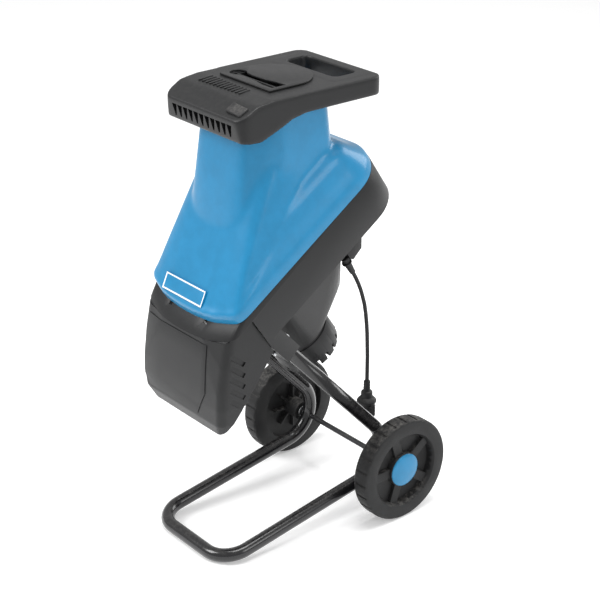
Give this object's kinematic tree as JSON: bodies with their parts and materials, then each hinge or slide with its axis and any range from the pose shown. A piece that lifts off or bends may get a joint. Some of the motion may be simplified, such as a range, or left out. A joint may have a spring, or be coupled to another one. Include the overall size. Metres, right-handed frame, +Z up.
{
  "type": "wood chipper",
  "caption": "Electric garden chipper: blue hinged feed hopper on a tilted black cutter housing with front discharge chute, on a bent tube chassis with two wheels.",
  "frame": {"origin": "on the ground under the middle of the machine's box without its cord", "axes": "+Z up, +Y to the rear where the switches are, +X across the machine"},
  "size_m": [0.3668, 0.4774, 0.8473],
  "materials": {
    "moulded_black": "fine grained black moulding",
    "moulded_blue": "bright blue moulding, satin gloss",
    "tube_black": "black powder coated steel tube",
    "steel": "zinc plated steel",
    "blade_steel": "ground hardened steel",
    "cast_alloy": "die cast aluminium",
    "brass": "plain brass",
    "copper": "enamelled copper winding",
    "lamination": "stacked electrical sheet",
    "cord_rubber": "matt black rubber",
    "wheel_black": "hard black wheel moulding",
    "button_green": "green button",
    "button_red": "red button",
    "carbon": "pressed carbon"
  },
  "bodies": {
    "root": {"chassis_tube": "tube_black", "axle": "steel", "axle_washers": "steel", "axle_caps": "steel", "frame_bolts": "steel", "frame_nuts": "steel", "base_housing": "moulded_black", "discharge_chute": "moulded_black", "motor_cover": "moulded_black", "motor_end_grille": "moulded_black", "switch_box": "moulded_black", "switch_module": "moulded_black", "cable_gland": "cord_rubber", "power_cord": "cord_rubber", "plug_body": "cord_rubber", "plug_pins": "brass", "bearing_plate": "cast_alloy", "gear_case": "cast_alloy", "gear_case_screws": "steel", "spindle_bearings": "steel", "motor_bearings": "steel", "stator_core": "lamination", "stator_windings": "copper", "carbon_brushes": "carbon", "brush_holders": "moulded_black", "safety_switch": "moulded_black", "hinge_pins": "steel"},
    "spindle": {"spindle": "steel", "disc_flange": "steel", "blade_disc": "blade_steel", "cutting_blades": "blade_steel", "blade_screws": "steel", "disc_bolt": "steel", "ejector_vanes": "steel", "driven_gear": "steel"},
    "armature": {"armature_shaft": "steel", "armature_core": "lamination", "armature_windings": "copper", "commutator": "copper", "cooling_fan": "moulded_black", "motor_pinion": "steel"},
    "wheel_left": {"wheel_left": "wheel_black", "hub_cap_left": "moulded_blue"},
    "wheel_right": {"wheel_right": "wheel_black", "hub_cap_right": "moulded_blue"},
    "hopper": {"hopper_cover": "moulded_blue", "hopper_top": "moulded_black", "feed_chute": "moulded_black", "counter_blade": "blade_steel", "counter_blade_screws": "steel", "hinge_arms": "moulded_black", "lock_insert": "brass", "safety_peg": "moulded_black"},
    "plunger": {"plunger_head": "moulded_black", "plunger_ram": "moulded_black"},
    "lock_carrier": {"lock_washer": "steel"},
    "lock_knob": {"lock_knob": "moulded_black"},
    "on_button": {"button_on": "button_green"},
    "off_button": {"button_off": "button_red"},
    "reset_button": {"reset_button": "button_red"}
  },
  "joints": [
    {"name": "spindle_spin", "type": "hinge", "parent": "root", "child": "spindle", "pos_m": [0, -0.05711, 0.5858], "axis": [0, -0.5592, 0.829], "continuous": true},
    {"name": "armature_spin", "type": "hinge", "parent": "root", "child": "armature", "pos_m": [0, -0.10685, 0.55224], "axis": [0, -0.5592, 0.829], "continuous": true},
    {"name": "wheel_left_spin", "type": "hinge", "parent": "root", "child": "wheel_left", "pos_m": [-0.16, 0.13875, 0.1], "axis": [1, 0, 0], "continuous": true},
    {"name": "wheel_right_spin", "type": "hinge", "parent": "root", "child": "wheel_right", "pos_m": [0.16, 0.13875, 0.1], "axis": [1, 0, 0], "continuous": true},
    {"name": "hopper_tilt", "type": "hinge", "parent": "root", "child": "hopper", "pos_m": [0, -0.20972, 0.44546], "axis": [1, 0, 0], "range_deg": [0, 50]},
    {"name": "plunger_slide", "type": "slide", "parent": "hopper", "child": "plunger", "axis": [0, 0.2079, 0.9781], "range_m": [0, 0.24]},
    {"name": "lock_spin", "type": "hinge", "parent": "lock_carrier", "child": "lock_knob", "pos_m": [0, 0.08632, 0.68254], "axis": [0, -0.5592, 0.829], "range_deg": [0, 1800]},
    {"name": "lock_travel", "type": "slide", "parent": "root", "child": "lock_carrier", "axis": [0, -0.5592, 0.829], "range_m": [-0.01, 0]},
    {"name": "on_press", "type": "slide", "parent": "root", "child": "on_button", "axis": [0, -1, 0], "range_m": [0, 0.002], "stiffness_N_per_m": 300},
    {"name": "off_press", "type": "slide", "parent": "root", "child": "off_button", "axis": [0, -1, 0], "range_m": [0, 0.002], "stiffness_N_per_m": 300},
    {"name": "reset_press", "type": "slide", "parent": "root", "child": "reset_button", "axis": [0, -1, 0], "range_m": [0, 0.002], "stiffness_N_per_m": 300}
  ],
  "couplings": [
    {"joint": "armature_spin", "follows": "spindle_spin", "ratio": -5.6667},
    {"joint": "lock_travel", "follows": "lock_spin", "m_per_rad": -0.00031831}
  ]
}
